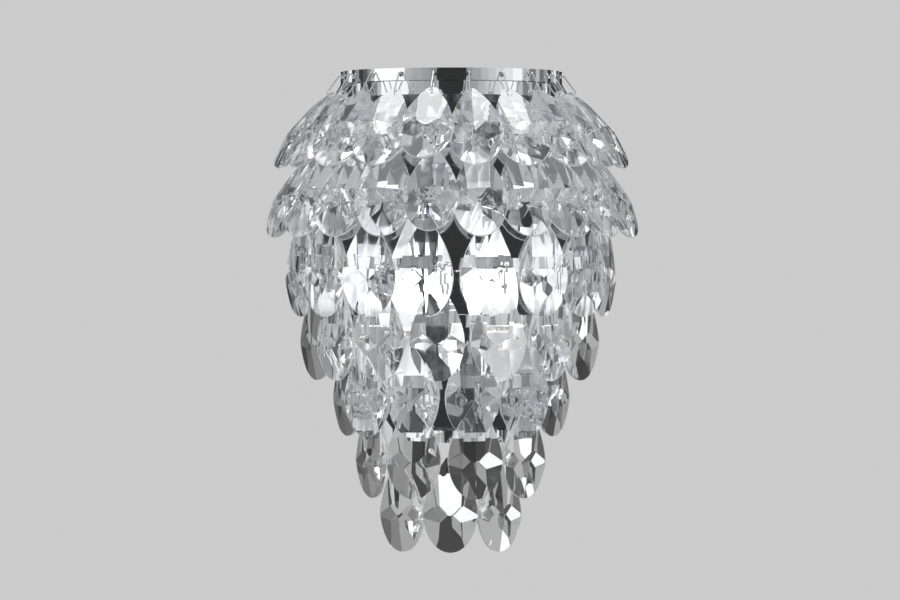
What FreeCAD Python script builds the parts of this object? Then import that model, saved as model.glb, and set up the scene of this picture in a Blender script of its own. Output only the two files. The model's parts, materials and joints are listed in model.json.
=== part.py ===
"""Crystal wall sconce: seven half-round tiers of faceted drops on a wall plate.

Millimetres. +Z is up, +Y points into the wall and the light faces -Y.
The origin is the middle of the wall bracket's screw pattern, on the wall.
"""

import FreeCAD, Part
import math
import os
from FreeCAD import Rotation, Vector

# ---------------------------------------------------------------- crystal drop
DROP_LENGTH = 63.0            # tip to bottom
DROP_WIDTH = 36.0
DROP_THICKNESS = 12.0         # at the culet, front point to back point
DROP_CULET = 36.5             # from the tip down to the widest place
TIP_WIDTH = 5.2
GIRDLE = 3.0                  # rim thickness under the main facets
GIRDLE_BROKEN = 1.8           # rim thickness under the break facets
TIP_TO_HOLE = 3.4
DROP_HOLE_R = 0.75
OUTLINE_STEPS = 7             # straight rim facets from widest place to tip or bottom
SHOULDER_POWER = 1.7          # fullness of the outline above the widest place
MAIN_FACETS = (90, 40, -8, -50, -90)         # directions from the culet, right half
BREAK_FACETS = (65, 17, -28, -70)            # between the main facets
BREAK_START = 0.6             # share of the way to the rim where a break facet begins

# ---------------------------------------------------------------- wire clip
CLIP_LENGTH = 15.5            # hook to pin
CLIP_WIRE_R = 0.5
CLIP_HALF_WIDTH = 2.7         # middle of the wire, each side of the drop
TOP_CLIP_HALF_WIDTH = 3.6     # wider on the top band, whose hooks sit higher above its edge
CLIP_BEND_R = 1.1
CLIP_END_GAP = 0.4            # between the two ends of the wire, inside the band's hole

# ---------------------------------------------------------------- half-round bands
BAND_HEIGHT = 8.0
BAND_THICKNESS = 1.2
BAND_FOOT = 9.0               # foot that lies on the back plate
FOOT_CLEARANCE = 0.3          # between the top band's feet and the set-back band
HOOK_ABOVE_EDGE = 2.6         # from a lower band's bottom edge up to its hook holes
TOP_HOOK_ABOVE_EDGE = 3.6     # the same on the top band
HOOK_HOLE_R = 1.5
RING_FORWARD = 17.0           # from the wall to the centre of the half rings
LEAN_GAP = 1.6                # between a leaning drop's culet and the band that its rim rests near
SET_BACK_INSET = 6.0          # by which the set-back band's radius is less than the top band's
SET_BACK_HEIGHT = 12.0
SET_BACK_DROP = 5.0           # from the top band's top edge down to the set-back band's

# Each tier: number of drops, band radius (middle of the strip), hook height,
# turn of the whole row about the vertical, and step between drops.
TIERS = (
    {"drops": 10, "radius": 71.5, "height": 80.5, "turn": 0.0, "step": 18.0},
    {"drops": 10, "radius": 89.0, "height": 40.5, "turn": 1.5, "step": 16.0},
    {"drops": 8, "radius": 101.5, "height": -2.5, "turn": 2.0, "step": 22.5},
    {"drops": 7, "radius": 89.0, "height": -44.5, "turn": -6.0, "step": 26.0},
    {"drops": 6, "radius": 68.5, "height": -81.5, "turn": -5.0, "step": 32.5},
    {"drops": 4, "radius": 56.0, "height": -122.0, "turn": -5.0, "step": 42.0},
    {"drops": 3, "radius": 37.0, "height": -157.5, "turn": -1.0, "step": 59.0},
)

# The first tiers flare: their drops lean on the band of the tier below. Each row gives how far
# those drops turn towards the front, and which one lies on top of both its neighbours.
FLARED = (
    {"twist": 17.0, "top": 4},
    {"twist": 15.0, "top": 4},
)
TOP_DROP_LIFT = 5.0           # degrees by which the drop on top leans out further
FRONT_TURN = 0.28             # share of its azimuth by which a hanging drop turns to the front
LAST_FRONT_TURN = 0.45        # the same in the last tier
LOOSE_TWIST = 7.0             # most that it is turned on its clip beyond that
LOOSE_STEP = 137.5            # spreads those turns unevenly, in degrees per drop

# ---------------------------------------------------------------- wall side
BRACKET_WIDTH = 112.0
BRACKET_HEIGHT = 26.0
BRACKET_THICKNESS = 1.5
SCREW_SPACING = 60.0
SCREW_HOLE_R = 2.25
CABLE_HOLE_R = 7.0
STUD_SPACING = 96.0
STUD_R = 2.0
STUD_CLEARANCE = 0.2
STUD_PROUD = 4.0              # stud in front of the back plate
NUT_R = 4.2
NUT_HEIGHT = 7.0
NUT_CLEARANCE = 0.05
PLATE_FORWARD = 6.0           # front face of the back plate from the wall
PLATE_THICKNESS = 1.5
PLATE_MARGIN = 1.5            # plate beyond a band's outer face
PLATE_END = 0.5               # plate above the top band and below the last one

# ---------------------------------------------------------------- lamps
LAMP_SPACING = 54.0
LAMP_FORWARD = 42.0
ARM_R = 4.0
ARM_BORE_R = 3.0
ARM_BEND_R = 12.0
ARM_HEIGHT = -140.0           # where the arms leave the back plate
HOLDER_BOTTOM = -120.0
HOLDER_HEIGHT = 30.0
HOLDER_R = 10.5
HOLDER_FLOOR = 3.0
HOLDER_FLANGE_R = 13.0
HOLDER_FLANGE_HEIGHT = 3.0
BASE_R = 7.0
BASE_CLEARANCE = 0.25
BASE_PROUD = 3.0              # lamp base above the holder's mouth
BULB_R = 17.0
BULB_HEIGHT = 74.0
BULB_NECK_R = 6.0
BULB_TIP_R = 2.0
BULB_WIDEST = 0.34            # share of the bulb's height
BULB_WALL = 1.0

WIDE = 3 * (DROP_LENGTH + DROP_WIDTH)         # cutting blocks, larger than any drop
CENTRE = Vector(0, -RING_FORWARD, 0)
CULET_HALF = DROP_THICKNESS / 2
HOLE_TO_CULET = DROP_CULET - TIP_TO_HOLE


def outward(azimuth):
    """Horizontal direction away from the ring's centre; 0 is the front, - is the left."""
    angle = math.radians(azimuth)
    return Vector(math.sin(angle), -math.cos(angle), 0)


def save(name, *solids):
    shape = solids[0] if len(solids) == 1 else Part.makeCompound(list(solids))
    shape.exportStep(f"parts/{name}.step")


# ---------------------------------------------------------------- the drop, cut as the stone is
def half_width(below_tip):
    """Half of the drop's width at a distance below its tip."""
    if below_tip <= DROP_CULET:
        share = (DROP_CULET - below_tip) / DROP_CULET
        return TIP_WIDTH / 2 + (DROP_WIDTH - TIP_WIDTH) / 2 * (1 - share ** SHOULDER_POWER)
    share = (below_tip - DROP_CULET) / (DROP_LENGTH - DROP_CULET)
    return DROP_WIDTH / 2 * math.sqrt(max(0.0, 1 - share ** 2))


def drop_outline():
    """Rim of the drop in its own frame, with the hole's centre at the origin."""
    right = []
    for step in range(OUTLINE_STEPS + 1):
        below = DROP_CULET * (1 - math.cos(math.pi / 2 * step / OUTLINE_STEPS))
        right.append((half_width(below), below))
    for step in range(1, OUTLINE_STEPS):
        angle = math.pi / 2 * step / OUTLINE_STEPS
        below = DROP_CULET + (DROP_LENGTH - DROP_CULET) * math.sin(angle)
        right.append((half_width(below), below))
    left = [(-x, below) for x, below in reversed(right)]
    ring = right + [(0.0, DROP_LENGTH)] + left
    return [Vector(x, -DROP_THICKNESS, TIP_TO_HOLE - below) for x, below in ring]


def rim_distance(direction):
    """Distance from the culet to the rim, in a direction given in degrees."""
    angle = math.radians(direction)
    upright = DROP_CULET if direction > 0 else DROP_LENGTH - DROP_CULET
    across = math.cos(angle) / (DROP_WIDTH / 2)
    return 1 / math.hypot(across, math.sin(angle) / upright)


def main_slope(direction):
    return (CULET_HALF - GIRDLE / 2) / rim_distance(direction)


def crown_height(direction, distance):
    """Half thickness under the main facets at a place on the drop's face."""
    heights = []
    for facet in MAIN_FACETS + tuple(180 - facet for facet in MAIN_FACETS):
        turn = math.radians(direction - facet)
        heights.append(CULET_HALF - main_slope(90 - abs(90 - facet)) * distance * math.cos(turn))
    return min(heights)


def facet_block(direction, through, half_height, slope, front):
    """Block whose one face is the facet's plane; it stands outside the drop."""
    angle = math.radians(direction)
    side = -1 if front else 1
    along = Vector(math.cos(angle), 0, math.sin(angle))
    normal = along * slope + Vector(0, side, 0)
    normal.normalize()
    culet_z = TIP_TO_HOLE - DROP_CULET
    point = along * through + Vector(0, side * half_height, culet_z)
    block = Part.makeBox(WIDE, WIDE, WIDE, Vector(-WIDE / 2, -WIDE / 2, 0))
    block.Placement = FreeCAD.Placement(point, Rotation(Vector(0, 0, 1), normal))
    return block


def crystal_drop():
    """One faceted drop, hole at the origin, tip up, faces along Y."""
    outline = drop_outline()
    blank = Part.Face(Part.makePolygon(outline + outline[:1])).extrude(Vector(0, 2 * DROP_THICKNESS, 0))
    blocks = []
    for front in (True, False):
        for facet in MAIN_FACETS:
            for direction in {facet, 180 - facet}:
                blocks.append(facet_block(direction, 0, CULET_HALF, main_slope(facet), front))
        for facet in BREAK_FACETS:
            rim = rim_distance(facet)
            start = BREAK_START * rim
            height = crown_height(facet, start)
            slope = (height - GIRDLE_BROKEN / 2) / (rim - start)
            for direction in (facet, 180 - facet):
                blocks.append(facet_block(direction, start, height, slope, front))
    for block in blocks:
        blank = blank.cut(block)
    hole = Part.makeCylinder(DROP_HOLE_R, WIDE, Vector(0, -WIDE / 2, 0), Vector(0, 1, 0))
    return blank.cut(hole)


# ---------------------------------------------------------------- where each drop hangs
def back_half(below_hook):
    """Half thickness of a drop at a distance down from its hook."""
    below_hole = below_hook - CLIP_LENGTH
    if below_hole <= HOLE_TO_CULET:
        share = (HOLE_TO_CULET - below_hole) / DROP_CULET
    else:
        share = (below_hole - HOLE_TO_CULET) / (DROP_LENGTH - DROP_CULET)
    return CULET_HALF - share * (CULET_HALF - GIRDLE / 2)


def lean_angle(tier):
    """Angle off the vertical at which a flared drop rests on the next band's top edge."""
    if tier >= len(FLARED):
        return 0.0
    below = TIERS[tier + 1]
    edge_radius = below["radius"] + BAND_THICKNESS / 2 - TIERS[tier]["radius"]
    edge_depth = TIERS[tier]["height"] - band_top(tier + 1)
    low, high = 0.0, 80.0
    for _ in range(40):
        lean = (low + high) / 2
        angle = math.radians(lean)
        along = edge_radius * math.sin(angle) + edge_depth * math.cos(angle)
        off = edge_depth * math.sin(angle) - edge_radius * math.cos(angle)
        if off < back_half(along) + LEAN_GAP:
            low = lean
        else:
            high = lean
    return (low + high) / 2


def band_bottom(tier):
    return TIERS[tier]["height"] - (HOOK_ABOVE_EDGE if tier else TOP_HOOK_ABOVE_EDGE)


def band_top(tier):
    return band_bottom(tier) + BAND_HEIGHT


def azimuths(tier):
    row = TIERS[tier]
    first = row["turn"] - row["step"] * (row["drops"] - 1) / 2
    return [first + row["step"] * place for place in range(row["drops"])]


def is_top(tier, place):
    return tier < len(FLARED) and place == FLARED[tier]["top"]


def twist_angle(tier, place):
    """Turn of a drop about its own length: shingled where flared, uneven where it hangs."""
    if tier < len(FLARED):
        side = (place < FLARED[tier]["top"]) - (place > FLARED[tier]["top"])
        return side * FLARED[tier]["twist"]
    loose = LOOSE_TWIST * math.sin(math.radians(LOOSE_STEP * (place + 2 * tier)))
    share = LAST_FRONT_TURN if tier == len(TIERS) - 1 else FRONT_TURN
    return loose - share * azimuths(tier)[place]


def drop_turn(tier, place):
    """Rotation from the drop's own frame into the light's."""
    azimuth = azimuths(tier)[place]
    twist = Rotation(Vector(0, 0, 1), twist_angle(tier, place))
    lift = TOP_DROP_LIFT if is_top(tier, place) else 0.0
    lean = Rotation(Vector(1, 0, 0), -lean_angle(tier) - lift)
    return Rotation(Vector(0, 0, 1), azimuth).multiply(lean).multiply(twist)


def hook_point(tier, place):
    row = TIERS[tier]
    return CENTRE + outward(azimuths(tier)[place]) * row["radius"] + Vector(0, 0, row["height"])


def pin_point(tier, place):
    down = drop_turn(tier, place).multVec(Vector(0, 0, -1))
    return hook_point(tier, place) + down * CLIP_LENGTH


# ---------------------------------------------------------------- the clip
def bent_wire(corners, bend, radius):
    """Round wire along straight runs that tangent arcs join."""
    edges = []
    start = corners[0]
    for before, corner, after in zip(corners, corners[1:], corners[2:]):
        into = (corner - before).normalize()
        out = (after - corner).normalize()
        half_turn = into.getAngle(out) / 2
        reach = bend * math.tan(half_turn)
        enter = corner - into * reach
        leave = corner + out * reach
        inside = (out - into).normalize()
        middle = corner + inside * (bend / math.cos(half_turn) - bend)
        edges.append(Part.LineSegment(start, enter).toShape())
        edges.append(Part.Arc(enter, middle, leave).toShape())
        start = leave
    edges.append(Part.LineSegment(start, corners[-1]).toShape())
    heading = corners[1] - corners[0]
    profile = Part.Wire(Part.makeCircle(radius, corners[0], heading))
    return Part.Wire(edges).makePipeShell([profile], True, False)


def wire_clip(tier, place):
    """Spring-wire loop through the band's hook hole and the drop's hole."""
    turn = drop_turn(tier, place)
    untwisted = turn.multiply(Rotation(Vector(0, 0, 1), -twist_angle(tier, place)))
    front_of_hook = untwisted.multVec(Vector(0, -1, 0))
    front_of_pin = turn.multVec(Vector(0, -1, 0))
    hook = hook_point(tier, place)
    pin = pin_point(tier, place)
    half = CLIP_HALF_WIDTH if tier else TOP_CLIP_HALF_WIDTH
    corners = [
        hook + front_of_hook * (CLIP_END_GAP / 2),
        hook + front_of_hook * half,
        pin + front_of_pin * half,
        pin - front_of_pin * half,
        hook - front_of_hook * half,
        hook - front_of_hook * (CLIP_END_GAP / 2),
    ]
    return bent_wire(corners, CLIP_BEND_R, CLIP_WIRE_R)


# ---------------------------------------------------------------- bands
def half_ring(radius, bottom, height, foot=BAND_FOOT):
    """Half-round strip with straight ends and feet that lie on the back plate."""
    inner = radius - BAND_THICKNESS / 2
    outer = radius + BAND_THICKNESS / 2
    middle = CENTRE + Vector(0, 0, bottom)
    ring = Part.makeCylinder(outer, height, middle, Vector(0, 0, 1))
    ring = ring.cut(Part.makeCylinder(inner, height, middle, Vector(0, 0, 1)))
    behind = Part.makeBox(4 * outer, 2 * outer, height, middle - Vector(2 * outer, 0, 0))
    strip = ring.cut(behind)
    leg_length = RING_FORWARD - PLATE_FORWARD
    pieces = []
    for side in (-1, 1):
        leg_x = side * radius - BAND_THICKNESS / 2
        pieces.append(
            Part.makeBox(BAND_THICKNESS, leg_length, height, Vector(leg_x, -RING_FORWARD, bottom))
        )
        foot_x = inner - foot if side > 0 else -inner
        foot_y = -PLATE_FORWARD - BAND_THICKNESS
        pieces.append(Part.makeBox(foot, BAND_THICKNESS, height, Vector(foot_x, foot_y, bottom)))
    return strip.fuse(pieces).removeSplitter()


def drilled_band(tier):
    radius = TIERS[tier]["radius"]
    foot = BAND_FOOT if tier else SET_BACK_INSET - BAND_THICKNESS - FOOT_CLEARANCE
    band = half_ring(radius, band_bottom(tier), BAND_HEIGHT, foot)
    for place, azimuth in enumerate(azimuths(tier)):
        inside = hook_point(tier, place) - outward(azimuth) * (2 * BAND_THICKNESS)
        band = band.cut(Part.makeCylinder(HOOK_HOLE_R, 4 * BAND_THICKNESS, inside, outward(azimuth)))
    return band


def set_back_band():
    bottom = band_top(0) - SET_BACK_DROP - SET_BACK_HEIGHT
    return half_ring(TIERS[0]["radius"] - SET_BACK_INSET, bottom, SET_BACK_HEIGHT)


# ---------------------------------------------------------------- wall side
def along_wall(x, z, radius, near, far):
    """Round bar or hole square to the wall, from one distance off it to another."""
    return Part.makeCylinder(radius, far - near, Vector(x, -near, z), Vector(0, -1, 0))


def plate_outline(depth):
    """Outline of the back plate: as wide as each band at that band's height."""
    last = len(TIERS) - 1
    right = []
    for tier, row in enumerate(TIERS):
        half = row["radius"] + BAND_THICKNESS / 2 + PLATE_MARGIN
        top = band_top(tier) + (PLATE_END if tier == 0 else 0)
        bottom = band_bottom(tier) - (PLATE_END if tier == last else 0)
        right += [(half, top), (half, bottom)]
    ring = right + [(-x, z) for x, z in reversed(right)]
    corners = [Vector(x, -depth, z) for x, z in ring]
    return Part.makePolygon(corners + corners[:1])


def back_plate():
    """Sheet with its rim turned back to the wall."""
    solid = Part.Face(plate_outline(0)).extrude(Vector(0, -PLATE_FORWARD, 0))
    rim_line = plate_outline(0).makeOffset2D(-PLATE_THICKNESS)
    hollow = Part.Face(rim_line).extrude(Vector(0, PLATE_THICKNESS - PLATE_FORWARD, 0))
    plate = solid.cut(hollow)
    for side in (-1, 1):
        stud_x = side * STUD_SPACING / 2
        plate = plate.cut(along_wall(stud_x, 0, STUD_R + STUD_CLEARANCE, 0, 2 * PLATE_FORWARD))
        lamp_x = side * LAMP_SPACING / 2
        plate = plate.cut(along_wall(lamp_x, ARM_HEIGHT, ARM_BORE_R, 0, 2 * PLATE_FORWARD))
    return plate


def wall_bracket():
    corner = Vector(-BRACKET_WIDTH / 2, -BRACKET_THICKNESS, -BRACKET_HEIGHT / 2)
    bar = Part.makeBox(BRACKET_WIDTH, BRACKET_THICKNESS, BRACKET_HEIGHT, corner)
    corners = [edge for edge in bar.Edges if abs(edge.tangentAt(edge.FirstParameter).y) > 0.9]
    bar = bar.makeFillet(BRACKET_HEIGHT / 5, corners)
    bar = bar.cut(along_wall(0, 0, CABLE_HOLE_R, -1, BRACKET_THICKNESS + 1))
    for side in (-1, 1):
        screw_x = side * SCREW_SPACING / 2
        bar = bar.cut(along_wall(screw_x, 0, SCREW_HOLE_R, -1, BRACKET_THICKNESS + 1))
        stud_x = side * STUD_SPACING / 2
        bar = bar.cut(along_wall(stud_x, 0, STUD_R, -1, BRACKET_THICKNESS + 1))
    return bar


def bracket_stud(side):
    return along_wall(side * STUD_SPACING / 2, 0, STUD_R, 0, PLATE_FORWARD + STUD_PROUD)


def cap_nut(side):
    """Hexagon nut with a domed end, screwed up to the back plate."""
    x = side * STUD_SPACING / 2
    corners = []
    for corner in range(7):
        angle = math.radians(60 * corner)
        corners.append(Vector(x + NUT_R * math.cos(angle), -PLATE_FORWARD, NUT_R * math.sin(angle)))
    hexagon = Part.Face(Part.makePolygon(corners)).extrude(Vector(0, -NUT_HEIGHT / 2, 0))
    dome_centre = Vector(x, -PLATE_FORWARD - NUT_HEIGHT / 2, 0)
    dome_r = NUT_R * math.cos(math.radians(30))
    dome = Part.makeSphere(dome_r, dome_centre)
    dome = dome.common(
        Part.makeBox(2 * NUT_R, NUT_HEIGHT, 2 * NUT_R, dome_centre - Vector(NUT_R, NUT_HEIGHT, NUT_R))
    )
    bore = along_wall(x, 0, STUD_R + NUT_CLEARANCE, 0, PLATE_FORWARD + STUD_PROUD + NUT_CLEARANCE)
    return hexagon.fuse(dome).cut(bore)


# ---------------------------------------------------------------- lamps
def lamp_place(side, z):
    return Vector(side * LAMP_SPACING / 2, -LAMP_FORWARD, z)


def lamp_arm(side):
    """Tube from the back plate forward and up to the lamp holder."""
    corners = [
        Vector(side * LAMP_SPACING / 2, -PLATE_FORWARD, ARM_HEIGHT),
        lamp_place(side, ARM_HEIGHT),
        lamp_place(side, HOLDER_BOTTOM),
    ]
    outside = bent_wire(corners, ARM_BEND_R, ARM_R)
    return outside.cut(bent_wire(corners, ARM_BEND_R, ARM_BORE_R))


def lamp_holder(side):
    foot = lamp_place(side, HOLDER_BOTTOM)
    up = Vector(0, 0, 1)
    cup = Part.makeCylinder(HOLDER_R, HOLDER_HEIGHT, foot, up)
    cup = cup.fuse(Part.makeCylinder(HOLDER_FLANGE_R, HOLDER_FLANGE_HEIGHT, foot, up))
    seat = foot + up * HOLDER_FLOOR
    cup = cup.cut(Part.makeCylinder(BASE_R + BASE_CLEARANCE, HOLDER_HEIGHT, seat, up))
    return cup.cut(Part.makeCylinder(ARM_BORE_R, HOLDER_HEIGHT, foot, up))


def lamp_base(side):
    height = HOLDER_HEIGHT - HOLDER_FLOOR + BASE_PROUD
    return Part.makeCylinder(BASE_R, height, lamp_place(side, HOLDER_BOTTOM + HOLDER_FLOOR))


def candle_form(side, inset):
    """Candle shape on the lamp's base, drawn in all over by an inset."""
    foot = HOLDER_BOTTOM + HOLDER_HEIGHT + BASE_PROUD + inset
    height = BULB_HEIGHT - 2 * inset

    def at(radius, share):
        return lamp_place(side, foot + share * height) + Vector(max(0.0, radius - inset), 0, 0)

    flank = Part.BSplineCurve()
    flank.interpolate([
        at(BULB_NECK_R, 0.0),
        at(0.86 * BULB_R, 0.14),
        at(BULB_R, BULB_WIDEST),
        at(0.66 * BULB_R, 0.7),
        at(BULB_TIP_R, 1.0),
    ])
    edges = [
        Part.LineSegment(at(0, 0), at(BULB_NECK_R, 0)).toShape(),
        flank.toShape(),
        Part.LineSegment(at(BULB_TIP_R, 1.0), at(0, 1.0)).toShape(),
        Part.LineSegment(at(0, 1.0), at(0, 0)).toShape(),
    ]
    profile = Part.Face(Part.Wire(edges))
    return profile.revolve(at(0, 0), Vector(0, 0, 1), 360)


def lamp_bulb(side):
    return candle_form(side, 0).cut(candle_form(side, BULB_WALL))


def main():
    os.makedirs("parts", exist_ok=True)
    pattern = crystal_drop()
    clips = []
    for tier in range(len(TIERS)):
        for place in range(TIERS[tier]["drops"]):
            drop = pattern.copy()
            drop.Placement = FreeCAD.Placement(pin_point(tier, place), drop_turn(tier, place))
            save(f"crystal_tier{tier + 1}_{place + 1:02d}", drop)
            clips.append(wire_clip(tier, place))
    save("wire_clips", *clips)
    save("top_band", drilled_band(0))
    save("set_back_band", set_back_band())
    save("lower_bands", *[drilled_band(tier) for tier in range(1, len(TIERS))])
    save("back_plate", back_plate())
    save("wall_bracket", wall_bracket())
    for name, make in (
        ("bracket_studs", bracket_stud),
        ("cap_nuts", cap_nut),
        ("lamp_arms", lamp_arm),
        ("lamp_holders", lamp_holder),
        ("lamp_bases", lamp_base),
        ("lamp_bulbs", lamp_bulb),
    ):
        save(name, make(-1), make(1))
    for tier in range(len(FLARED)):
        print(f"tier {tier + 1} leans {lean_angle(tier):.1f} degrees")


main()
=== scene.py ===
"""Crystal wall sconce: the visual model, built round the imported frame.

Metres, in the frame's own axes: +Z is up, +Y points into the wall and the light faces -Y.
"""

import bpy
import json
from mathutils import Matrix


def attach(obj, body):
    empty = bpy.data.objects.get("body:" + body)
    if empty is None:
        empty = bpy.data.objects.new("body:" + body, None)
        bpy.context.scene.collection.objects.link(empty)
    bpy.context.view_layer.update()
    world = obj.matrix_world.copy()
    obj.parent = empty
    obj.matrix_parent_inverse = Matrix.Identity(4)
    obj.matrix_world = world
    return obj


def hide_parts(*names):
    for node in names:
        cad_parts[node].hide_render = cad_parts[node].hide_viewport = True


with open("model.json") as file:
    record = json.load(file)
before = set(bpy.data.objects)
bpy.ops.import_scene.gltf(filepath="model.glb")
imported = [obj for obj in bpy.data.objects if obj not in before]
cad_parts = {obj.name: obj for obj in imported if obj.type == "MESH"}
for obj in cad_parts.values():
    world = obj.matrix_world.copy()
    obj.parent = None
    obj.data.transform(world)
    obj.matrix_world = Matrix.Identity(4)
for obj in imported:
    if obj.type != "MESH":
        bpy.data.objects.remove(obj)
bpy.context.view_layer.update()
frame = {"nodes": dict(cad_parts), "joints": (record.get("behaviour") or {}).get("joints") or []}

import json
import math

import bmesh
import bpy
from mathutils import Matrix, Vector

bl_info = {
    "name": "Crystal Wall Sconce",
    "version": (1, 0, 0),
    "blender": (4, 5, 0),
    "location": "View3D > Sidebar > Sconce",
    "description": "Cuts the crystal drops of a wall sconce and finishes its metalwork, lamps and stage",
    "category": "Object",
}

MM = 0.001

# ---------------------------------------------------------------- sizes of a drop, in millimetres
MAIN_FACETS = (90, 40, 140, -8, 188, -50, 230, -90)      # directions from the culet, in degrees
BREAK_FACETS = (65, 115, 17, 163, -28, 208, -70, 250)    # between the main facets
BREAK_START = 0.6             # where a break facet starts, as a share of the way to the rim
BREAK_GIRDLE = 0.6            # girdle under a break facet, as a share of the one under a main facet
SHOULDER_POWER = 1.7          # fullness of the outline between tip and widest place
RIM_STEPS = 22                # straight pieces in a quarter of the outline
TIP_HALF_WIDTH = 2.6          # half of the flat at the tip
HOLE_BELOW_TIP = 3.4          # from the tip to the hole's centre
HOLE_STEPS = 24               # straight pieces round the hole
DRILL_REACH = 10.0            # from the drop's middle to each end of the drill
INSIDE_SOLID = 0.994          # scale that keeps the drop within its solid
RIM_FACING = 0.2              # a face that looks less than this forward or back is on the rim
HOLE_WALL = 4                 # hole radii from the hole's centre, within which a face is its wall
CUT_TOLERANCE = 1e-5
AXIS_TOLERANCE = 1e-9

# ---------------------------------------------------------------- finishes
CRYSTAL_IOR = 1.58
RIM_TRANSMISSION = 0.55       # of the ground rim, where clear crystal has 1
SHADOW_SHARE = 0.9            # light that a drop lets through
SMUDGE_SHADE = 0.9            # brightness of smudged metal or ground crystal
CRYSTAL_SHADE = 0.97          # brightness of crystal in its faint waves
LAMP_SHADE = 0.35             # brightness of the lamp glass away from the filament
LAMP_SPREAD = 16              # how much more a lamp lights what is round it than it glows
HOLDER_WHITE = (0.86, 0.87, 0.89)
HOLDER_FILM = (0.76, 0.76, 0.76)
HOLDER_PAINTED_GLOW = 0.35            # painted glow: light the holders give off of their own, standing in for the lamp light on them
CAP_BRASS = (0.80, 0.77, 0.69)

# ---------------------------------------------------------------- stage, in metres and watts
LIGHTS = (                    # name, place, diameter, power
    ("key", (-1.5, -2.2, 1.5), 1.2, 40),
    ("fill", (1.8, -1.9, 0.5), 1.2, 18),
    ("top", (0.0, 0.2, 1.9), 1.0, 16),
    ("rim_left", (-1.4, 1.5, 0.5), 0.7, 10),
    ("rim_right", (1.4, 1.5, 0.5), 0.7, 10),
)
LIGHT_TARGET = (0, -0.03, -0.07)
FLOOR_REACH = 9.0             # from the floor's middle to its sides
FLOOR_GREY = 0.46
FLOOR_FADE = (0.5, 1.6)       # distances at which the floor starts and ends fading into the backdrop
WORLD_GREY = 0.5              # light of the world on matt surfaces
CAMERA_X = -0.0009
CAMERA_TARGET_Y = -0.017
CAMERA_Z = -0.0663
SENSOR_WIDTH = 36.0           # in millimetres
CLIP_END = 100
GLASS_BOUNCES = 24
MIRROR_BOUNCES = 12

# Cards before the object: azimuths from and to (0 is the front, 90 the right), heights of the
# lower and upper edge as angles, and grey level. Left out ranges show the backdrop.
FRONT_CARDS = (
    (-14, 15, -9, 9, 0.04), (-14, 15, -40, -9, 0.26), (-14, 15, 9, 30, 0.12), (-14, 15, 30, 60, 0.80),
    (15, 22, -40, 20, 0.36), (22, 30, -40, 20, 0.44), (15, 30, 20, 60, 0.08), (30, 38, -40, 60, 0.56),
    (38, 46, -40, 24, 0.66), (38, 46, 24, 60, 0.16), (46, 56, -40, 60, 0.78), (56, 66, -20, 60, 0.92),
    (66, 78, -20, 60, 1.15), (78, 88, -40, 60, 0.60), (88, 98, -40, 60, 0.26),
    (-22, -14, -40, 15, 0.36), (-30, -22, -40, 15, 0.44), (-30, -14, 15, 60, 0.08),
    (-40, -30, -40, 60, 0.50), (-48, -40, -40, 60, 0.56), (-86, -48, -30, 60, 1.25),
    (-92, -86, -40, 60, 0.62), (-98, -92, -40, 60, 0.30),
)
# Cards behind the object: square tiles whose levels go round this list.
BACK_LEVELS = (0.32, 0.10, 0.42, 0.06, 0.20, 1.05, 0.13, 0.36, 0.05, 0.25, 0.04)
TILE = 8                      # degrees wide and high
TILE_AZIMUTHS = range(104, 260, TILE)
TILE_HEIGHTS = range(-20, 60, TILE)
COLUMN_STEP = 3               # places in the list from one column to the next
ROW_STEP = 5                  # and from one row to the next
CARD_DISTANCE = 1.3


# ---------------------------------------------------------------- settings
class SconceDropSettings(bpy.types.PropertyGroup):
    """Sizes and colour of a crystal drop"""
    length: bpy.props.FloatProperty(
        name="Length", description="Tip to bottom of a drop", default=0.063, unit="LENGTH")
    width: bpy.props.FloatProperty(
        name="Width", description="Widest place of a drop", default=0.036, unit="LENGTH")
    thickness: bpy.props.FloatProperty(
        name="Thickness", description="Front point to back point of a drop", default=0.012, unit="LENGTH")
    culet: bpy.props.FloatProperty(
        name="Culet", description="From the tip down to the point where the large facets meet",
        default=0.0365, unit="LENGTH")
    girdle: bpy.props.FloatProperty(
        name="Girdle", description="Thickness of the rim under the large facets",
        default=0.003, unit="LENGTH")
    polish: bpy.props.FloatProperty(
        name="Edge Polish", description="Width of the polished line along each facet's edge",
        default=0.00016, unit="LENGTH")
    hole_radius: bpy.props.FloatProperty(
        name="Hole Radius", description="Radius of the hole drilled for the clip",
        default=0.00075, unit="LENGTH")
    glass_colour: bpy.props.FloatVectorProperty(
        name="Glass Colour", description="Body colour of the lead crystal", default=(0.985, 0.99, 1.0),
        subtype="COLOR", min=0.0, max=1.0)


class SconceMetalSettings(bpy.types.PropertyGroup):
    """Colours of the metalwork"""
    chrome_colour: bpy.props.FloatVectorProperty(
        name="Chrome Colour", description="Colour of the mirror chrome", default=(0.80, 0.81, 0.83),
        subtype="COLOR", min=0.0, max=1.0)
    zinc_colour: bpy.props.FloatVectorProperty(
        name="Zinc Colour", description="Colour of the zinc-plated bracket and studs",
        default=(0.62, 0.63, 0.65), subtype="COLOR", min=0.0, max=1.0)


class SconceLampSettings(bpy.types.PropertyGroup):
    """Brightness and colour of the lamps"""
    strength: bpy.props.FloatProperty(
        name="Brightness", description="How bright the lamp glass glows", default=1.2, min=0.0)
    colour: bpy.props.FloatVectorProperty(
        name="Light Colour", description="Colour of the lit lamp glass", default=(0.985, 0.99, 1.0),
        subtype="COLOR", min=0.0, max=1.0)


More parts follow.
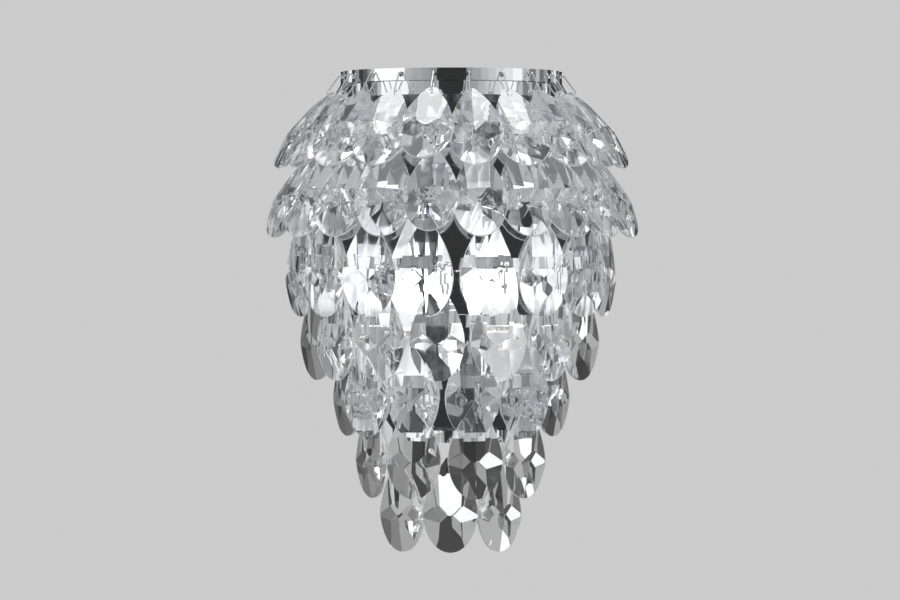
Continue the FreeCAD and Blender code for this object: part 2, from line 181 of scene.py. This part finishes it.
class SconceStageSettings(bpy.types.PropertyGroup):
    """Backdrop, floor and camera"""
    backdrop: bpy.props.FloatProperty(
        name="Backdrop", description="Brightness of the pale backdrop", default=0.60, min=0.0, max=1.0)
    floor_height: bpy.props.FloatProperty(
        name="Floor Height", description="Height of the floor", default=-0.50, unit="LENGTH")
    camera_distance: bpy.props.FloatProperty(
        name="Camera Distance", description="From the camera to the middle of the half rings",
        default=3.7, unit="LENGTH")
    view_width: bpy.props.FloatProperty(
        name="View Width", description="Width of the picture at the middle of the half rings",
        default=0.5967, unit="LENGTH")


# ---------------------------------------------------------------- parts of materials
def new_material(name):
    """A material with its Principled shader, and the two collections that nodes and links go in."""
    material = bpy.data.materials.new(name)
    material.use_nodes = True
    tree = material.node_tree
    return material, tree.nodes, tree.links, tree.nodes["Principled BSDF"]


def shaded(colour, share):
    """The colour at a share of its brightness."""
    return tuple(share * part for part in colour)


def grey(level):
    """Opaque grey of one level."""
    return (level, level, level, 1.0)


def feed(links, socket, value):
    """Sets a socket to a number, or links another socket to it."""
    if isinstance(value, bpy.types.NodeSocket):
        links.new(value, socket)
    else:
        socket.default_value = value


def object_place(nodes):
    """Place on the object itself, in its own axes."""
    return nodes.new("ShaderNodeTexCoord").outputs["Object"]


def noise(nodes, links, place, scale, detail, rough=0.5):
    """Noise value at a place."""
    texture = nodes.new("ShaderNodeTexNoise")
    texture.inputs["Detail"].default_value = detail
    texture.inputs["Roughness"].default_value = rough
    feed(links, texture.inputs["Scale"], scale)
    links.new(place, texture.inputs["Vector"])
    return texture.outputs["Fac"]


def ramp(nodes, links, value, low, high, out_low=0.0, out_high=1.0):
    """Value stretched from low...high to out_low...out_high, smoothly."""
    stretch = nodes.new("ShaderNodeMapRange")
    stretch.interpolation_type = "SMOOTHSTEP"
    stretch.inputs["From Min"].default_value = low
    stretch.inputs["From Max"].default_value = high
    stretch.inputs["To Min"].default_value = out_low
    stretch.inputs["To Max"].default_value = out_high
    links.new(value, stretch.inputs["Value"])
    return stretch.outputs["Result"]


def math_node(nodes, links, operation, first, second):
    """Result of a sum on two numbers or sockets."""
    node = nodes.new("ShaderNodeMath")
    node.operation = operation
    feed(links, node.inputs[0], first)
    feed(links, node.inputs[1], second)
    return node.outputs["Value"]


def mix_colour(nodes, links, mask, first, second):
    """First colour where the mask is 0 and second where it is 1."""
    mixer = nodes.new("ShaderNodeMix")
    mixer.data_type = "RGBA"
    mixer.inputs["A"].default_value = (*first, 1.0)
    mixer.inputs["B"].default_value = (*second, 1.0)
    links.new(mask, mixer.inputs["Factor"])
    return mixer.outputs["Result"]


def add_bump(nodes, links, shader, height, strength, distance):
    """Lets a height raise and sink the shader's surface."""
    bump = nodes.new("ShaderNodeBump")
    bump.inputs["Strength"].default_value = strength
    bump.inputs["Distance"].default_value = distance
    links.new(height, bump.inputs["Height"])
    links.new(bump.outputs["Normal"], shader.inputs["Normal"])


def glow_shader(nodes, colour, strength=1.0):
    """Shader that gives off light of one colour, whatever light falls on it."""
    glow = nodes.new("ShaderNodeEmission")
    glow.inputs["Color"].default_value = colour
    glow.inputs["Strength"].default_value = strength
    return glow.outputs["Emission"]


def blend(nodes, links, share, first, second, output="Material Output"):
    """Shows the first shader where the share is 0 and the second where it is 1."""
    mixer = nodes.new("ShaderNodeMixShader")
    links.new(share, mixer.inputs["Fac"])
    links.new(first, mixer.inputs[1])
    links.new(second, mixer.inputs[2])
    links.new(mixer.outputs["Shader"], nodes[output].inputs["Surface"])


def let_light_through(nodes, links, shader):
    """Lets most of the lamps' light through a drop, where it would throw a black shadow."""
    clear = nodes.new("ShaderNodeBsdfTransparent")
    clear.inputs["Color"].default_value = grey(SHADOW_SHARE)
    rays = nodes.new("ShaderNodeLightPath")
    blend(nodes, links, rays.outputs["Is Shadow Ray"], shader.outputs["BSDF"], clear.outputs["BSDF"])


def new_group(name, inputs, outputs):
    """Node group that takes the named numbers, each with its default, and gives the named values."""
    group = bpy.data.node_groups.new(name, "ShaderNodeTree")
    for title, default in inputs.items():
        socket = group.interface.new_socket(name=title, in_out="INPUT", socket_type="NodeSocketFloat")
        socket.default_value = default
    for title in outputs:
        group.interface.new_socket(name=title, in_out="OUTPUT", socket_type="NodeSocketFloat")
    given = group.nodes.new("NodeGroupInput").outputs
    made = group.nodes.new("NodeGroupOutput").inputs
    return group, given, made


def handling_marks():
    """Group: smudges, fine hairline scratches and the height they give, from the object's own place."""
    name = "Handling Marks"
    if name in bpy.data.node_groups:
        return bpy.data.node_groups[name]
    group, given, made = new_group(
        name, {"Smudge Scale": 60.0, "Scratch Scale": 900.0}, ("Smudge", "Scratch", "Height"))
    nodes = group.nodes
    links = group.links
    place = object_place(nodes)
    blotch = noise(nodes, links, place, given["Smudge Scale"], detail=4.0)
    smudge = ramp(nodes, links, blotch, low=0.42, high=0.72)
    stretch = nodes.new("ShaderNodeMapping")
    stretch.inputs["Rotation"].default_value = (0.3, 0.5, 0.2)
    stretch.inputs["Scale"].default_value = (0.06, 1.0, 1.0)
    links.new(place, stretch.inputs["Vector"])
    lines = noise(nodes, links, stretch.outputs["Vector"], given["Scratch Scale"], detail=3.0, rough=0.6)
    scratch = ramp(nodes, links, lines, low=0.60, high=0.70)
    sunk = math_node(nodes, links, "MULTIPLY", scratch, -0.4)
    raised = math_node(nodes, links, "MULTIPLY", smudge, 0.6)
    links.new(smudge, made["Smudge"])
    links.new(scratch, made["Scratch"])
    links.new(math_node(nodes, links, "ADD", sunk, raised), made["Height"])
    return group


def glass_surface():
    """Group: the slow waviness of fire-polished glass and the film of haze on it."""
    name = "Glass Surface"
    if name in bpy.data.node_groups:
        return bpy.data.node_groups[name]
    group, given, made = new_group(name, {"Wave Scale": 110.0, "Haze": 0.02}, ("Height", "Roughness"))
    nodes = group.nodes
    links = group.links
    place = object_place(nodes)
    wave = noise(nodes, links, place, given["Wave Scale"], detail=1.0)
    film = noise(nodes, links, place, scale=240.0, detail=5.0, rough=0.65)
    haze = ramp(nodes, links, film, low=0.50, high=0.78)
    links.new(wave, made["Height"])
    links.new(math_node(nodes, links, "MULTIPLY", haze, given["Haze"]), made["Roughness"])
    return group


def add_group(nodes, group, **values):
    """Outputs of a group that is put in a material with its own numbers."""
    node = nodes.new("ShaderNodeGroup")
    node.node_tree = group
    for name, value in values.items():
        node.inputs[name.replace("_", " ")].default_value = value
    return node.outputs


# ---------------------------------------------------------------- materials
def metal_material(name, colour, rough, rougher, smudge_scale, scratch_scale, depth=0.00001):
    """Plated or polished metal: hairlines and smudges move its roughness, colour and height."""
    material, nodes, links, shader = new_material(name)
    shader.inputs["Metallic"].default_value = 1.0
    marks = add_group(nodes, handling_marks(), Smudge_Scale=smudge_scale, Scratch_Scale=scratch_scale)
    worn = math_node(nodes, links, "MAXIMUM", marks["Smudge"], marks["Scratch"])
    links.new(ramp(nodes, links, worn, 0.0, 1.0, rough, rougher), shader.inputs["Roughness"])
    plating = mix_colour(nodes, links, marks["Smudge"], colour, shaded(colour, SMUDGE_SHADE))
    links.new(plating, shader.inputs["Base Color"])
    add_bump(nodes, links, shader, marks["Height"], strength=0.25, distance=depth)
    return material


def crystal_material(colour):
    """Clear lead crystal, polished, with the faint waviness and haze of a handled stone."""
    material, nodes, links, shader = new_material("Lead Crystal")
    shader.inputs["Transmission Weight"].default_value = 1.0
    shader.inputs["IOR"].default_value = CRYSTAL_IOR
    surface = add_group(nodes, glass_surface(), Wave_Scale=120.0, Haze=0.05)
    waves = ramp(nodes, links, surface["Height"], low=0.3, high=0.7)
    body = mix_colour(nodes, links, waves, colour, shaded(colour, CRYSTAL_SHADE))
    links.new(body, shader.inputs["Base Color"])
    links.new(surface["Roughness"], shader.inputs["Roughness"])
    add_bump(nodes, links, shader, surface["Height"], strength=0.5, distance=0.00012)
    let_light_through(nodes, links, shader)
    return material


def rim_material(colour):
    """The drops' ground rim: the same crystal, fine-ground, so it catches light as a white line."""
    material, nodes, links, shader = new_material("Ground Rim")
    shader.inputs["Transmission Weight"].default_value = RIM_TRANSMISSION
    shader.inputs["IOR"].default_value = CRYSTAL_IOR
    surface = add_group(nodes, glass_surface(), Wave_Scale=400.0, Haze=0.3)
    grain = noise(nodes, links, object_place(nodes), scale=5000.0, detail=2.0)
    worn = ramp(nodes, links, grain, low=0.3, high=0.7)
    body = mix_colour(nodes, links, worn, colour, shaded(colour, SMUDGE_SHADE))
    links.new(body, shader.inputs["Base Color"])
    rough = ramp(nodes, links, grain, low=0.2, high=0.8, out_low=0.22, out_high=0.38)
    links.new(rough, shader.inputs["Roughness"])
    add_bump(nodes, links, shader, surface["Height"], strength=0.3, distance=0.00005)
    let_light_through(nodes, links, shader)
    return material


def lamp_glass_material(colour, strength):
    """Frosted glass, lit from inside: brightest about the filament, dimmer to its neck."""
    material, nodes, links, shader = new_material("Lit Lamp Glass")
    surface = add_group(nodes, glass_surface(), Wave_Scale=160.0, Haze=0.25)
    place = nodes.new("ShaderNodeTexCoord").outputs["Generated"]
    split = nodes.new("ShaderNodeSeparateXYZ")
    links.new(place, split.inputs["Vector"])
    height = split.outputs["Z"]
    near_neck = ramp(nodes, links, height, low=0.35, high=0.0)
    near_tip = ramp(nodes, links, height, low=0.5, high=1.0)
    ends = math_node(nodes, links, "ADD", near_neck, near_tip)
    frost = noise(nodes, links, place, scale=5.0, detail=4.0, rough=0.6)
    patches = ramp(nodes, links, frost, low=0.42, high=0.68, out_high=0.5)
    uneven = math_node(nodes, links, "ADD", ends, patches)
    glow = mix_colour(nodes, links, uneven, colour, shaded(colour, LAMP_SHADE))
    links.new(glow, shader.inputs["Base Color"])
    links.new(glow, shader.inputs["Emission Color"])
    shader.inputs["Emission Strength"].default_value = strength
    links.new(surface["Roughness"], shader.inputs["Roughness"])
    add_bump(nodes, links, shader, surface["Height"], strength=0.3, distance=0.0001)
    lamp = glow_shader(nodes, (*colour, 1.0), LAMP_SPREAD * strength)
    rays = nodes.new("ShaderNodeLightPath")
    blend(nodes, links, rays.outputs["Is Diffuse Ray"], shader.outputs["BSDF"], lamp)
    return material


def holder_material():
    """Glazed white lamp holder with a faint grey film in smudged patches, and a painted glow: the glaze
    gives off a little light of its own, standing in for the lamp light that falls on it.
    """
    material, nodes, links, shader = new_material("Glazed Holder")
    marks = add_group(nodes, handling_marks(), Smudge_Scale=90.0, Scratch_Scale=600.0)
    glaze = mix_colour(nodes, links, marks["Smudge"], HOLDER_WHITE, HOLDER_FILM)
    links.new(glaze, shader.inputs["Base Color"])
    # Painted glow: the holder gives off light in the glaze's colour, standing in for the lamp light that
    # falls on it
    links.new(glaze, shader.inputs["Emission Color"])
    shader.inputs["Emission Strength"].default_value = HOLDER_PAINTED_GLOW
    rough = ramp(nodes, links, marks["Smudge"], low=0.0, high=1.0, out_low=0.16, out_high=0.34)
    links.new(rough, shader.inputs["Roughness"])
    add_bump(nodes, links, shader, marks["Height"], strength=0.3, distance=0.00003)
    return material


def floor_material(level):
    """Pale floor that takes the object's shadow and fades into the backdrop further out."""
    material, nodes, links, shader = new_material("Pale Floor")
    shader.inputs["Base Color"].default_value = grey(FLOOR_GREY)
    shader.inputs["Roughness"].default_value = 0.9
    reach = nodes.new("ShaderNodeVectorMath")
    reach.operation = "LENGTH"
    links.new(object_place(nodes), reach.inputs[0])
    fade = ramp(nodes, links, reach.outputs["Value"], *FLOOR_FADE)
    blend(nodes, links, fade, shader.outputs["BSDF"], glow_shader(nodes, grey(level)))
    return material


def card_material(name, level):
    """Studio card of one grey or white level, whatever light falls on it."""
    material, nodes, links, shader = new_material(name)
    nodes.remove(shader)
    glow = glow_shader(nodes, grey(1.0), level)
    links.new(glow, nodes["Material Output"].inputs["Surface"])
    return material


def paint(node, material):
    """Puts a material on a CAD node's own slots."""
    piece = frame["nodes"][node]
    if not piece.material_slots:
        piece.data.materials.append(material)
    for slot in piece.material_slots:
        slot.link = "OBJECT"
        slot.material = material


# ---------------------------------------------------------------- the crystal drop
def half_width(below, size):
    """Half of the drop's width at a distance below its tip."""
    if below <= size["culet"]:
        share = (size["culet"] - below) / size["culet"]
        return TIP_HALF_WIDTH + (size["half"] - TIP_HALF_WIDTH) * (1 - share ** SHOULDER_POWER)
    share = (below - size["culet"]) / (size["length"] - size["culet"])
    return size["half"] * math.sqrt(max(0.0, 1 - share ** 2))


def rim_line(size):
    """Rim of the drop, from the right of its tip down and round to the left of it."""
    right = []
    for step in range(RIM_STEPS + 1):
        below = size["culet"] * (1 - math.cos(math.pi / 2 * step / RIM_STEPS))
        right.append((half_width(below, size), below))
    lower = size["length"] - size["culet"]
    for step in range(1, RIM_STEPS):
        below = size["culet"] + lower * math.sin(math.pi / 2 * step / RIM_STEPS)
        right.append((half_width(below, size), below))
    ring = right + [(0.0, size["length"])] + [(-x, below) for x, below in reversed(right)]
    return [(x, HOLE_BELOW_TIP - below) for x, below in ring]


def rim_distance(direction, size):
    """From the culet to the rim in a direction, on an ellipse for each half of the drop."""
    angle = math.radians(direction)
    upright = size["culet"] if math.sin(angle) > 0 else size["length"] - size["culet"]
    return 1 / math.hypot(math.cos(angle) / size["half"], math.sin(angle) / upright)


def main_slope(direction, size):
    """How steeply a large facet falls from the culet to the rim."""
    return (size["crown"] - size["girdle"] / 2) / rim_distance(direction, size)


def crown_height(direction, distance, size):
    """Half thickness under the large facets at a place on the drop's face."""
    return min(
        size["crown"] - main_slope(facet, size) * distance * math.cos(math.radians(direction - facet))
        for facet in MAIN_FACETS)


def slice_facet(mesh, direction, through, height, slope, side, size):
    """Grinds one flat facet: takes off what stands outside its plane and closes the face."""
    angle = math.radians(direction)
    along = Vector((math.cos(angle), 0, math.sin(angle)))
    culet = Vector((0, 0, HOLE_BELOW_TIP - size["culet"]))
    normal = (along * slope + Vector((0, side, 0))).normalized()
    point = culet + along * through + Vector((0, side * height, 0))
    cut = bmesh.ops.bisect_plane(
        mesh, geom=mesh.verts[:] + mesh.edges[:] + mesh.faces[:],
        plane_co=point, plane_no=normal, clear_outer=True, dist=CUT_TOLERANCE)
    edges = [part for part in cut["geom_cut"] if isinstance(part, bmesh.types.BMEdge)]
    if len(edges) > 2:
        bmesh.ops.edgeloop_fill(mesh, edges=edges)


def rough_drop(size):
    """The uncut stone: the outline of the drop, drawn out thicker than the finished stone."""
    mesh = bmesh.new()
    rim = rim_line(size)
    deep = 2 * size["crown"]
    front = [mesh.verts.new((x, -deep, z)) for x, z in rim]
    back = [mesh.verts.new((x, deep, z)) for x, z in rim]
    mesh.faces.new(front)
    mesh.faces.new(list(reversed(back)))
    for here in range(len(rim)):
        after = (here + 1) % len(rim)
        wall = mesh.faces.new((front[after], front[here], back[here], back[after]))
        wall.smooth = here != len(rim) - 1
    bmesh.ops.recalc_face_normals(mesh, faces=mesh.faces[:])
    return mesh


def ground_drop(size, polish):
    """The faceted stone in millimetres, its hole's centre at the origin."""
    mesh = rough_drop(size)
    for side in (-1, 1):
        for facet in MAIN_FACETS:
            slice_facet(mesh, facet, 0, size["crown"], main_slope(facet, size), side, size)
        for facet in BREAK_FACETS:
            rim_at = rim_distance(facet, size)
            start = BREAK_START * rim_at
            height = crown_height(facet, start, size)
            slope = (height - BREAK_GIRDLE * size["girdle"] / 2) / (rim_at - start)
            slice_facet(mesh, facet, start, height, slope, side, size)
    bmesh.ops.recalc_face_normals(mesh, faces=mesh.faces[:])
    ridges = [edge for edge in mesh.edges if not all(face.smooth for face in edge.link_faces)]
    bmesh.ops.bevel(
        mesh, geom=ridges, offset=polish, offset_type="OFFSET", segments=1, profile=0.5,
        affect="EDGES", clamp_overlap=True)
    for edge in mesh.edges:
        edge.smooth = all(face.smooth for face in edge.link_faces)
    return mesh


def finish_mesh(mesh, name):
    """Object in the scene made of a mesh that is done with."""
    data = bpy.data.meshes.new(name)
    mesh.to_mesh(data)
    mesh.free()
    piece = bpy.data.objects.new(name, data)
    bpy.context.scene.collection.objects.link(piece)
    return piece


def lathe(profile, steps, name):
    """Mesh object turned about Z from (radius, height) pairs; radius 0 closes an end to a point."""
    mesh = bmesh.new()
    rings = []
    for radius, height in profile:
        if radius < AXIS_TOLERANCE:
            rings.append([mesh.verts.new((0, 0, height))])
            continue
        angles = [math.tau * step / steps for step in range(steps)]
        rings.append([
            mesh.verts.new((radius * math.cos(angle), radius * math.sin(angle), height))
            for angle in angles])
    for lower, upper in zip(rings, rings[1:]):
        for step in range(steps):
            after = (step + 1) % steps
            corners = []
            for vert in (lower[step % len(lower)], lower[after % len(lower)],
                         upper[after % len(upper)], upper[step % len(upper)]):
                if vert not in corners:
                    corners.append(vert)
            mesh.faces.new(corners).smooth = True
    bmesh.ops.recalc_face_normals(mesh, faces=mesh.faces[:])
    return finish_mesh(mesh, name)


def drilled(stone, radius):
    """The stone's mesh with the clip's hole through it."""
    profile = [(0, -DRILL_REACH), (radius, -DRILL_REACH), (radius, DRILL_REACH), (0, DRILL_REACH)]
    drill = lathe(profile, HOLE_STEPS, "drill")
    drill.data.transform(Matrix.Rotation(math.pi / 2, 4, "X"))
    cut = stone.modifiers.new("Hole", "BOOLEAN")
    cut.object = drill
    cut.operation = "DIFFERENCE"
    cut.solver = "EXACT"
    bpy.context.view_layer.update()
    graph = bpy.context.evaluated_depsgraph_get()
    data = bpy.data.meshes.new_from_object(stone.evaluated_get(graph))
    bpy.data.objects.remove(drill)
    bpy.data.objects.remove(stone)
    return data


def volume_centre(data):
    """Centre of the volume that a closed mesh bounds."""
    data.calc_loop_triangles()
    total = 0.0
    centre = Vector()
    for triangle in data.loop_triangles:
        a, b, c = (data.vertices[index].co for index in triangle.vertices)
        volume = a.dot(b.cross(c))
        total += volume
        centre += volume * (a + b + c) / 4
    return centre / total


def hanging_place(joint, node):
    """Where a drop hangs: its hole on the hinge, its face outward and its body down."""
    pin = Vector(joint["pos_m"])
    face = Vector(joint["axis"]).normalized()
    down = volume_centre(frame["nodes"][node].data) - pin
    down = (down - face * down.dot(face)).normalized()
    across = face.cross(down)
    turn = Matrix((across, -face, -down)).transposed()
    return Matrix.Translation(pin) @ turn.to_4x4()


# ---------------------------------------------------------------- the stage
def aim(thing, target):
    """Turns a light to a target."""
    thing.rotation_euler = (Vector(target) - thing.location).to_track_quat("-Z", "Y").to_euler()


def soft_light(name, place, size, power):
    """Round soft light, aimed at the object."""
    light = bpy.data.lights.new(name, "AREA")
    light.shape = "DISK"
    light.size = size
    light.energy = power
    thing = bpy.data.objects.new(name, light)
    thing.location = place
    aim(thing, LIGHT_TARGET)
    thing.visible_camera = False
    bpy.context.scene.collection.objects.link(thing)


def pale_world(level):
    """World that the camera, metal and glass see as the pale backdrop."""
    world = bpy.data.worlds.new("Studio")
    world.use_nodes = True
    nodes = world.node_tree.nodes
    links = world.node_tree.links
    shown = nodes["Background"]
    shown.inputs["Color"].default_value = grey(level)
    lit = nodes.new("ShaderNodeBackground")
    lit.inputs["Color"].default_value = grey(WORLD_GREY)
    rays = nodes.new("ShaderNodeLightPath").outputs
    seen = math_node(nodes, links, "ADD", rays["Is Camera Ray"], rays["Is Glossy Ray"])
    seen = math_node(nodes, links, "ADD", seen, rays["Is Transmission Ray"])
    blend(nodes, links, seen, lit.outputs["Background"], shown.outputs["Background"], "World Output")
    bpy.context.scene.world = world


def pale_floor(height, level):
    """Wide floor under the object."""
    mesh = bmesh.new()
    corners = ((-FLOOR_REACH, -FLOOR_REACH), (FLOOR_REACH, -FLOOR_REACH),
               (FLOOR_REACH, FLOOR_REACH), (-FLOOR_REACH, FLOOR_REACH))
    mesh.faces.new([mesh.verts.new((x, y, 0)) for x, y in corners])
    piece = finish_mesh(mesh, "floor")
    piece.data.materials.append(floor_material(level))
    piece.location = (0, 0, height)


def card_corner(azimuth, height):
    """Corner of a studio card, upright on a cylinder round the object."""
    turn = math.radians(azimuth)
    rise = math.radians(height)
    return CARD_DISTANCE * Vector((math.sin(turn), -math.cos(turn), math.tan(rise)))


def studio_cards():
    """Grey and white cards round the object that only glass and chrome see."""
    cards = list(FRONT_CARDS)
    for column, azimuth in enumerate(TILE_AZIMUTHS):
        for row, height in enumerate(TILE_HEIGHTS):
            level = BACK_LEVELS[(COLUMN_STEP * column + ROW_STEP * row) % len(BACK_LEVELS)]
            cards.append((azimuth, azimuth + TILE, height, height + TILE, level))
    levels = sorted({card[-1] for card in cards})
    mesh = bmesh.new()
    for left, right, low, high, level in cards:
        corners = ((left, low), (right, low), (right, high), (left, high))
        card = mesh.faces.new([mesh.verts.new(card_corner(*corner)) for corner in corners])
        card.material_index = levels.index(level)
    piece = finish_mesh(mesh, "studio_cards")
    for place, level in enumerate(levels):
        piece.data.materials.append(card_material(f"Card {place}", level))
    piece.visible_camera = False
    piece.visible_diffuse = False
    piece.visible_shadow = False


def front_camera(distance, view_width):
    """Level camera straight before the object."""
    camera = bpy.data.objects.new("camera", bpy.data.cameras.new("camera"))
    bpy.context.scene.collection.objects.link(camera)
    camera.location = (CAMERA_X, CAMERA_TARGET_Y - distance, CAMERA_Z)
    camera.rotation_euler = (math.pi / 2, 0, 0)
    camera.data.sensor_width = SENSOR_WIDTH
    camera.data.lens = SENSOR_WIDTH * distance / view_width
    camera.data.clip_end = CLIP_END
    bpy.context.scene.camera = camera


# ---------------------------------------------------------------- operators
class SCONCE_OT_drops(bpy.types.Operator):
    """Cut one crystal drop and hang a copy of it on each clip"""
    bl_idname = "sconce.drops"
    bl_label = "Crystal Drops"

    def execute(self, context):
        chosen = context.scene.sconce_drop
        size = {
            "length": chosen.length / MM,
            "half": chosen.width / MM / 2,
            "culet": chosen.culet / MM,
            "crown": chosen.thickness / MM / 2,
            "girdle": chosen.girdle / MM,
        }
        stone = finish_mesh(ground_drop(size, chosen.polish / MM), "stone")
        data = drilled(stone, chosen.hole_radius / MM)
        scale = INSIDE_SOLID * MM
        data.transform(Matrix.Diagonal((scale, scale, scale, 1.0)))
        data.name = "crystal drop"
        data.materials.clear()
        data.materials.append(crystal_material(chosen.glass_colour))
        data.materials.append(rim_material(chosen.glass_colour))
        for face in data.polygons:
            off_hole = face.center.length > HOLE_WALL * chosen.hole_radius
            face.material_index = 1 if off_hole and abs(face.normal.y) < RIM_FACING else 0
        for joint in frame["joints"]:
            node = joint["child"]
            hung = data.copy()
            hung.transform(hanging_place(joint, node))
            piece = bpy.data.objects.new(node.replace("crystal", "drop"), hung)
            context.scene.collection.objects.link(piece)
            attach(piece, node)
            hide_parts(node)
        return {"FINISHED"}


class SCONCE_OT_metalwork(bpy.types.Operator):
    """Finish the bands, the clips and the fittings at the wall"""
    bl_idname = "sconce.metalwork"
    bl_label = "Metalwork"

    def execute(self, context):
        chosen = context.scene.sconce_metal
        chrome = metal_material(
            "Mirror Chrome", chosen.chrome_colour, rough=0.03, rougher=0.07,
            smudge_scale=45.0, scratch_scale=700.0)
        wire = metal_material(
            "Bright Wire", chosen.chrome_colour, rough=0.08, rougher=0.22,
            smudge_scale=300.0, scratch_scale=1500.0)
        zinc = metal_material(
            "Zinc Plate", chosen.zinc_colour, rough=0.28, rougher=0.46,
            smudge_scale=120.0, scratch_scale=900.0, depth=0.00003)
        for node in ("top_band", "set_back_band", "lower_bands", "back_plate", "cap_nuts", "lamp_arms"):
            paint(node, chrome)
        paint("wire_clips", wire)
        for node in ("wall_bracket", "bracket_studs"):
            paint(node, zinc)
        return {"FINISHED"}


class SCONCE_OT_lamps(bpy.types.Operator):
    """Finish the lamp holders, lamp caps and lit lamps"""
    bl_idname = "sconce.lamps"
    bl_label = "Lamps"

    def execute(self, context):
        chosen = context.scene.sconce_lamp
        brass = metal_material(
            "Lamp Cap Brass", CAP_BRASS, rough=0.2, rougher=0.4,
            smudge_scale=200.0, scratch_scale=900.0)
        paint("lamp_bulbs", lamp_glass_material(chosen.colour, chosen.strength))
        paint("lamp_holders", holder_material())
        paint("lamp_bases", brass)
        return {"FINISHED"}


class SCONCE_OT_stage(bpy.types.Operator):
    """Set the pale floor and backdrop, the soft lights and the camera"""
    bl_idname = "sconce.stage"
    bl_label = "Stage"

    def execute(self, context):
        scene = context.scene
        chosen = scene.sconce_stage
        scene.view_settings.view_transform = "Standard"
        pale_world(chosen.backdrop)
        pale_floor(chosen.floor_height, chosen.backdrop)
        studio_cards()
        for name, place, size, power in LIGHTS:
            soft_light(name, place, size, power)
        scene.cycles.max_bounces = GLASS_BOUNCES
        scene.cycles.transmission_bounces = GLASS_BOUNCES
        scene.cycles.glossy_bounces = MIRROR_BOUNCES
        scene.cycles.caustics_reflective = False
        scene.cycles.caustics_refractive = False
        front_camera(chosen.camera_distance, chosen.view_width)
        return {"FINISHED"}


# ---------------------------------------------------------------- panel and start
STEPS = (
    ("Crystal Drops", "sconce_drop", "sconce.drops"),
    ("Metalwork", "sconce_metal", "sconce.metalwork"),
    ("Lamps", "sconce_lamp", "sconce.lamps"),
    ("Stage", "sconce_stage", "sconce.stage"),
)


class SCONCE_PT_panel(bpy.types.Panel):
    """Each step's button, with its settings under it"""
    bl_label = "Crystal Wall Sconce"
    bl_space_type = "VIEW_3D"
    bl_region_type = "UI"
    bl_category = "Sconce"

    def draw(self, context):
        for title, settings, operator in STEPS:
            box = self.layout.box()
            box.operator(operator, text=title)
            group = getattr(context.scene, settings)
            for name in group.bl_rna.properties.keys():
                if name not in {"rna_type", "name"}:
                    box.prop(group, name)


SETTINGS = {
    "sconce_drop": SconceDropSettings,
    "sconce_metal": SconceMetalSettings,
    "sconce_lamp": SconceLampSettings,
    "sconce_stage": SconceStageSettings,
}
CLASSES = (
    *SETTINGS.values(), SCONCE_OT_drops, SCONCE_OT_metalwork, SCONCE_OT_lamps, SCONCE_OT_stage,
    SCONCE_PT_panel,
)


def register():
    """Adds the settings, operators and panel."""
    for kind in CLASSES:
        bpy.utils.register_class(kind)
    for name, kind in SETTINGS.items():
        setattr(bpy.types.Scene, name, bpy.props.PointerProperty(type=kind))


def unregister():
    """Takes away what register() adds."""
    for name in SETTINGS:
        delattr(bpy.types.Scene, name)
    for kind in reversed(CLASSES):
        bpy.utils.unregister_class(kind)


def main():
    """Builds the visual model step by step."""
    register()
    bpy.ops.sconce.drops()
    bpy.ops.sconce.metalwork()
    bpy.ops.sconce.lamps()
    bpy.ops.sconce.stage()
    bpy.context.view_layer.update()


if __name__ == "__main__":
    main()
